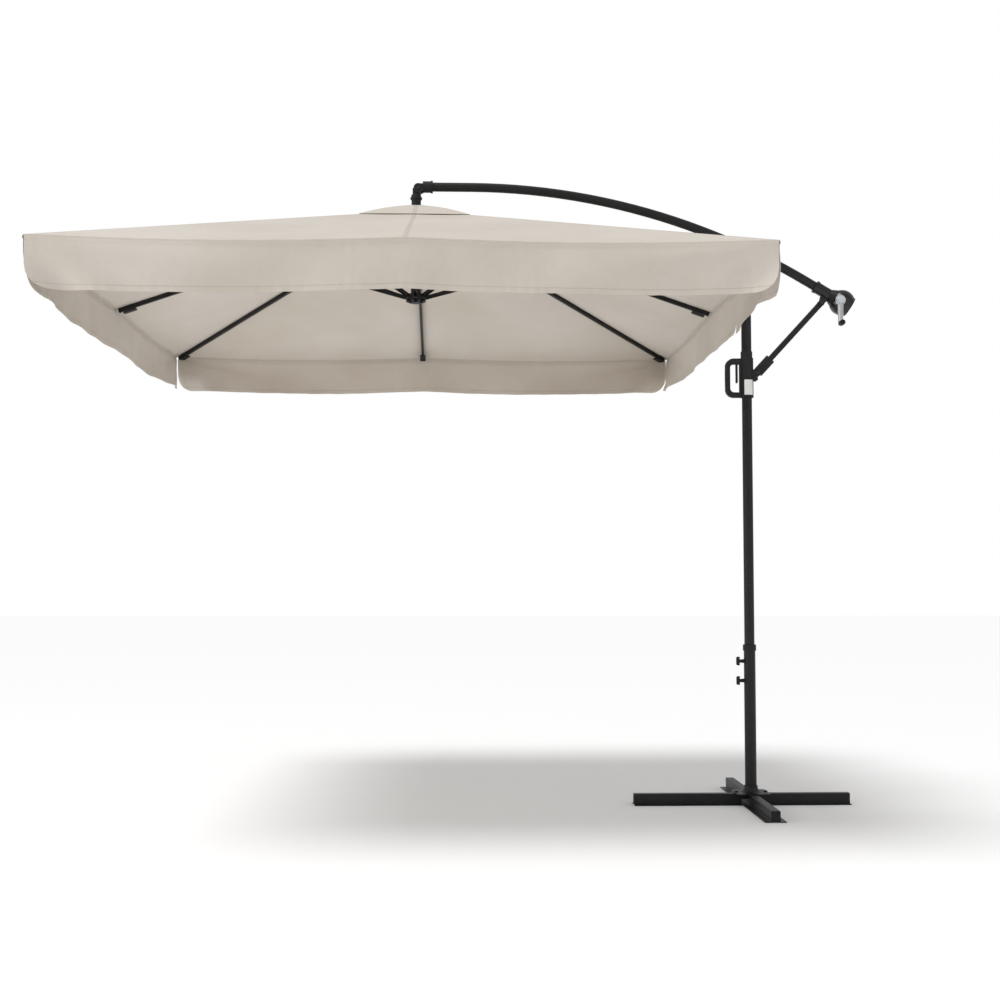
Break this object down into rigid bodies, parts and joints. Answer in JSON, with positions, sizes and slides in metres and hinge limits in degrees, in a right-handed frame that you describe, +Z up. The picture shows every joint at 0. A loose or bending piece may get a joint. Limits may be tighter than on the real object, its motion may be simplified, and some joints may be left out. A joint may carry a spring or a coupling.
{
  "type": "cantilever parasol",
  "caption": "Offset garden parasol: a cross-shaped steel foot, a swivelling mast, a bent boom with a crank winch, and a square fabric canopy with a valance and vent cap.",
  "frame": {"origin": "on the ground, at the axis of the mast", "axes": "+X from the canopy to the winch, along the boom; +Z up; +Y completes the frame, so the crank faces -Y"},
  "size_m": [3.116, 2.5, 2.6185],
  "materials": {
    "canopy_cloth": "matte",
    "rib_paint": "satin",
    "base_paint": "satin",
    "tube_paint": "satin",
    "zinc_fastener": "satin",
    "crank_chrome": "polished",
    "clear_cap": "gloss",
    "spool_steel": "satin",
    "cord": "matte",
    "label": "satin",
    "pulley_nylon": "satin",
    "housing_plastic": "satin",
    "knob_plastic": "satin",
    "moulded_plastic": "matte"
  },
  "bodies": {
    "base": {"base_beam_long": "base_paint", "base_beam_cross": "base_paint", "base_flange": "base_paint", "base_fasteners": "zinc_fastener", "lower_mast": "tube_paint", "mast_collar": "moulded_plastic"},
    "screw_upper": {"wing_screw_upper": "knob_plastic"},
    "screw_lower": {"wing_screw_lower": "knob_plastic"},
    "mast": {"upper_mast": "tube_paint", "mast_head": "tube_paint", "head_bolt": "zinc_fastener"},
    "slider": {"slider_sleeve": "moulded_plastic", "slider_grip": "moulded_plastic", "slider_pins": "zinc_fastener", "slider_label": "label"},
    "lever": {"release_lever": "moulded_plastic"},
    "strut": {"strut_tube": "tube_paint", "strut_fittings": "moulded_plastic"},
    "boom": {"boom_tube": "tube_paint", "boom_pins": "zinc_fastener", "boom_screws": "zinc_fastener", "tip_fitting": "moulded_plastic", "crank_housing": "housing_plastic", "housing_cap": "housing_plastic", "hoist_cord_run": "cord"},
    "crank": {"winch_spool": "spool_steel", "crank_arm": "crank_chrome", "crank_cap": "clear_cap"},
    "knob": {"crank_knob": "knob_plastic"},
    "pulley": {"tip_pulley": "pulley_nylon"},
    "hanger": {"hanger_elbow": "moulded_plastic", "hub_post": "tube_paint", "top_hub": "moulded_plastic", "hoist_cord_drop": "cord"},
    "runner": {"runner": "moulded_plastic"},
    "arm_right": {"rib_right": "rib_paint", "canopy_side_right": "canopy_cloth"},
    "stay_right": {"stretcher_right": "rib_paint"},
    "arm_rear_right": {"rib_rear_right": "rib_paint", "canopy_corner_rear_right": "canopy_cloth"},
    "stay_rear_right": {"stretcher_rear_right": "rib_paint"},
    "arm_rear": {"rib_rear": "rib_paint", "canopy_side_rear": "canopy_cloth"},
    "stay_rear": {"stretcher_rear": "rib_paint"},
    "arm_rear_left": {"rib_rear_left": "rib_paint", "canopy_corner_rear_left": "canopy_cloth"},
    "stay_rear_left": {"stretcher_rear_left": "rib_paint"},
    "arm_left": {"rib_left": "rib_paint", "canopy_side_left": "canopy_cloth"},
    "stay_left": {"stretcher_left": "rib_paint"},
    "arm_front_left": {"rib_front_left": "rib_paint", "canopy_corner_front_left": "canopy_cloth"},
    "stay_front_left": {"stretcher_front_left": "rib_paint"},
    "arm_front": {"rib_front": "rib_paint", "canopy_side_front": "canopy_cloth"},
    "stay_front": {"stretcher_front": "rib_paint"},
    "arm_front_right": {"rib_front_right": "rib_paint", "canopy_corner_front_right": "canopy_cloth"},
    "stay_front_right": {"stretcher_front_right": "rib_paint"}
  },
  "joints": [
    {"name": "mast_swivel", "type": "hinge", "parent": "base", "child": "mast", "pos_m": [0, 0, 0.66], "axis": [0, 0, 1], "continuous": true},
    {"name": "screw_upper_turn", "type": "hinge", "parent": "base", "child": "screw_upper", "pos_m": [-0.04, 0, 0.591], "axis": [-1, 0, 0], "range_deg": [0, 360]},
    {"name": "screw_lower_turn", "type": "hinge", "parent": "base", "child": "screw_lower", "pos_m": [-0.04, 0, 0.51], "axis": [-1, 0, 0], "range_deg": [0, 360]},
    {"name": "boom_tilt", "type": "hinge", "parent": "mast", "child": "boom", "pos_m": [0, 0, 2.32526], "axis": [0, 1, 0], "range_deg": [-7, 6]},
    {"name": "slider_slide", "type": "slide", "parent": "mast", "child": "slider", "axis": [0, 0, 1], "range_m": [-0.056, 0.065]},
    {"name": "strut_swing", "type": "hinge", "parent": "slider", "child": "strut", "pos_m": [0.044, 0, 1.803], "axis": [0, 1, 0], "range_deg": [-4.5, 5.2]},
    {"name": "canopy_level", "type": "hinge", "parent": "boom", "child": "hanger", "pos_m": [-1.391, 0, 2.583], "axis": [0, 1, 0], "range_deg": [-6.1, 7.1]},
    {"name": "lever_squeeze", "type": "hinge", "parent": "slider", "child": "lever", "pos_m": [-0.043, 0, 1.849], "axis": [0, 1, 0], "range_deg": [0, 9], "stiffness_Nm_per_rad": 0.6, "springref_deg": -14.32},
    {"name": "rib_right_fold", "type": "hinge", "parent": "hanger", "child": "arm_right", "pos_m": [-1.364, 0, 2.46753], "axis": [0, 1, 0], "range_deg": [0, 65.1], "deforming": ["canopy_side_right"]},
    {"name": "rib_rear_right_fold", "type": "hinge", "parent": "hanger", "child": "arm_rear_right", "pos_m": [-1.37454, 0.02546, 2.46959], "axis": [-0.7071, 0.7071, 0], "range_deg": [0, 70.44], "deforming": ["canopy_corner_rear_right"]},
    {"name": "rib_rear_fold", "type": "hinge", "parent": "hanger", "child": "arm_rear", "pos_m": [-1.4, 0.036, 2.46753], "axis": [-1, 0, 0], "range_deg": [0, 65.15], "deforming": ["canopy_side_rear"]},
    {"name": "rib_rear_left_fold", "type": "hinge", "parent": "hanger", "child": "arm_rear_left", "pos_m": [-1.42546, 0.02546, 2.46959], "axis": [-0.7071, -0.7071, 0], "range_deg": [0, 70.44], "deforming": ["canopy_corner_rear_left"]},
    {"name": "rib_left_fold", "type": "hinge", "parent": "hanger", "child": "arm_left", "pos_m": [-1.436, 0, 2.46753], "axis": [0, -1, 0], "range_deg": [0, 65.15], "deforming": ["canopy_side_left"]},
    {"name": "rib_front_left_fold", "type": "hinge", "parent": "hanger", "child": "arm_front_left", "pos_m": [-1.42546, -0.02546, 2.46959], "axis": [0.7071, -0.7071, 0], "range_deg": [0, 70.44], "deforming": ["canopy_corner_front_left"]},
    {"name": "rib_front_fold", "type": "hinge", "parent": "hanger", "child": "arm_front", "pos_m": [-1.4, -0.036, 2.46753], "axis": [1, 0, 0], "range_deg": [0, 65.15], "deforming": ["canopy_side_front"]},
    {"name": "rib_front_right_fold", "type": "hinge", "parent": "hanger", "child": "arm_front_right", "pos_m": [-1.37454, -0.02546, 2.46959], "axis": [0.7071, 0.7071, 0], "range_deg": [0, 70.44], "deforming": ["canopy_corner_front_right"]},
    {"name": "stretcher_right_fold", "type": "hinge", "parent": "arm_right", "child": "stay_right", "pos_m": [-0.79635, 0, 2.27316], "axis": [0, 1, 0], "range_deg": [-133.34, 0]},
    {"name": "stretcher_rear_right_fold", "type": "hinge", "parent": "arm_rear_right", "child": "stay_rear_right", "pos_m": [-0.97342, 0.42658, 2.33225], "axis": [-0.7071, 0.7071, 0], "range_deg": [-133.61, 0]},
    {"name": "stretcher_rear_fold", "type": "hinge", "parent": "arm_rear", "child": "stay_rear", "pos_m": [-1.4, 0.60365, 2.27316], "axis": [-1, 0, 0], "range_deg": [-133.34, 0]},
    {"name": "stretcher_rear_left_fold", "type": "hinge", "parent": "arm_rear_left", "child": "stay_rear_left", "pos_m": [-1.82658, 0.42658, 2.33225], "axis": [-0.7071, -0.7071, 0], "range_deg": [-133.61, 0]},
    {"name": "stretcher_left_fold", "type": "hinge", "parent": "arm_left", "child": "stay_left", "pos_m": [-2.00365, 0, 2.27316], "axis": [0, -1, 0], "range_deg": [-133.34, 0]},
    {"name": "stretcher_front_left_fold", "type": "hinge", "parent": "arm_front_left", "child": "stay_front_left", "pos_m": [-1.82658, -0.42658, 2.33225], "axis": [0.7071, -0.7071, 0], "range_deg": [-133.61, 0]},
    {"name": "stretcher_front_fold", "type": "hinge", "parent": "arm_front", "child": "stay_front", "pos_m": [-1.4, -0.60365, 2.27316], "axis": [1, 0, 0], "range_deg": [-133.34, 0]},
    {"name": "stretcher_front_right_fold", "type": "hinge", "parent": "arm_front_right", "child": "stay_front_right", "pos_m": [-0.97342, -0.42658, 2.33225], "axis": [0.7071, 0.7071, 0], "range_deg": [-133.61, 0]},
    {"name": "runner_slide", "type": "slide", "parent": "hanger", "child": "runner", "axis": [0, 0, 1], "range_m": [-0.834, 0], "deforming": ["hoist_cord_drop"]},
    {"name": "crank_turn", "type": "hinge", "parent": "boom", "child": "crank", "pos_m": [0.38703, 0, 2.10679], "axis": [0, 1, 0], "range_deg": [-3600, 0]},
    {"name": "pulley_turn", "type": "hinge", "parent": "boom", "child": "pulley", "pos_m": [-1.391, 0, 2.583], "axis": [0, 1, 0], "range_deg": [-5310, 0]},
    {"name": "knob_spin", "type": "hinge", "parent": "crank", "child": "knob", "pos_m": [0.38703, -0.08, 2.00679], "axis": [0, 1, 0], "continuous": true}
  ],
  "couplings": [
    {"joint": "slider_slide", "follows": "boom_tilt", "m_per_rad": -0.52195},
    {"joint": "strut_swing", "follows": "boom_tilt", "ratio": -0.7198},
    {"joint": "canopy_level", "follows": "boom_tilt", "ratio": -1},
    {"joint": "rib_rear_right_fold", "follows": "rib_right_fold", "ratio": 1.0813},
    {"joint": "rib_rear_fold", "follows": "rib_right_fold", "ratio": 1},
    {"joint": "rib_rear_left_fold", "follows": "rib_right_fold", "ratio": 1.0813},
    {"joint": "rib_left_fold", "follows": "rib_right_fold", "ratio": 1},
    {"joint": "rib_front_left_fold", "follows": "rib_right_fold", "ratio": 1.0813},
    {"joint": "rib_front_fold", "follows": "rib_right_fold", "ratio": 1},
    {"joint": "rib_front_right_fold", "follows": "rib_right_fold", "ratio": 1.0813},
    {"joint": "stretcher_right_fold", "follows": "rib_right_fold", "ratio": -2.0467},
    {"joint": "stretcher_rear_right_fold", "follows": "rib_right_fold", "ratio": -2.0509},
    {"joint": "stretcher_rear_fold", "follows": "rib_right_fold", "ratio": -2.0467},
    {"joint": "stretcher_rear_left_fold", "follows": "rib_right_fold", "ratio": -2.0509},
    {"joint": "stretcher_left_fold", "follows": "rib_right_fold", "ratio": -2.0467},
    {"joint": "stretcher_front_left_fold", "follows": "rib_right_fold", "ratio": -2.0509},
    {"joint": "stretcher_front_fold", "follows": "rib_right_fold", "ratio": -2.0467},
    {"joint": "stretcher_front_right_fold", "follows": "rib_right_fold", "ratio": -2.0509},
    {"joint": "runner_slide", "follows": "rib_right_fold", "m_per_rad": -0.73288},
    {"joint": "crank_turn", "follows": "rib_right_fold", "ratio": -55.2},
    {"joint": "pulley_turn", "follows": "rib_right_fold", "ratio": -81.4}
  ]
}
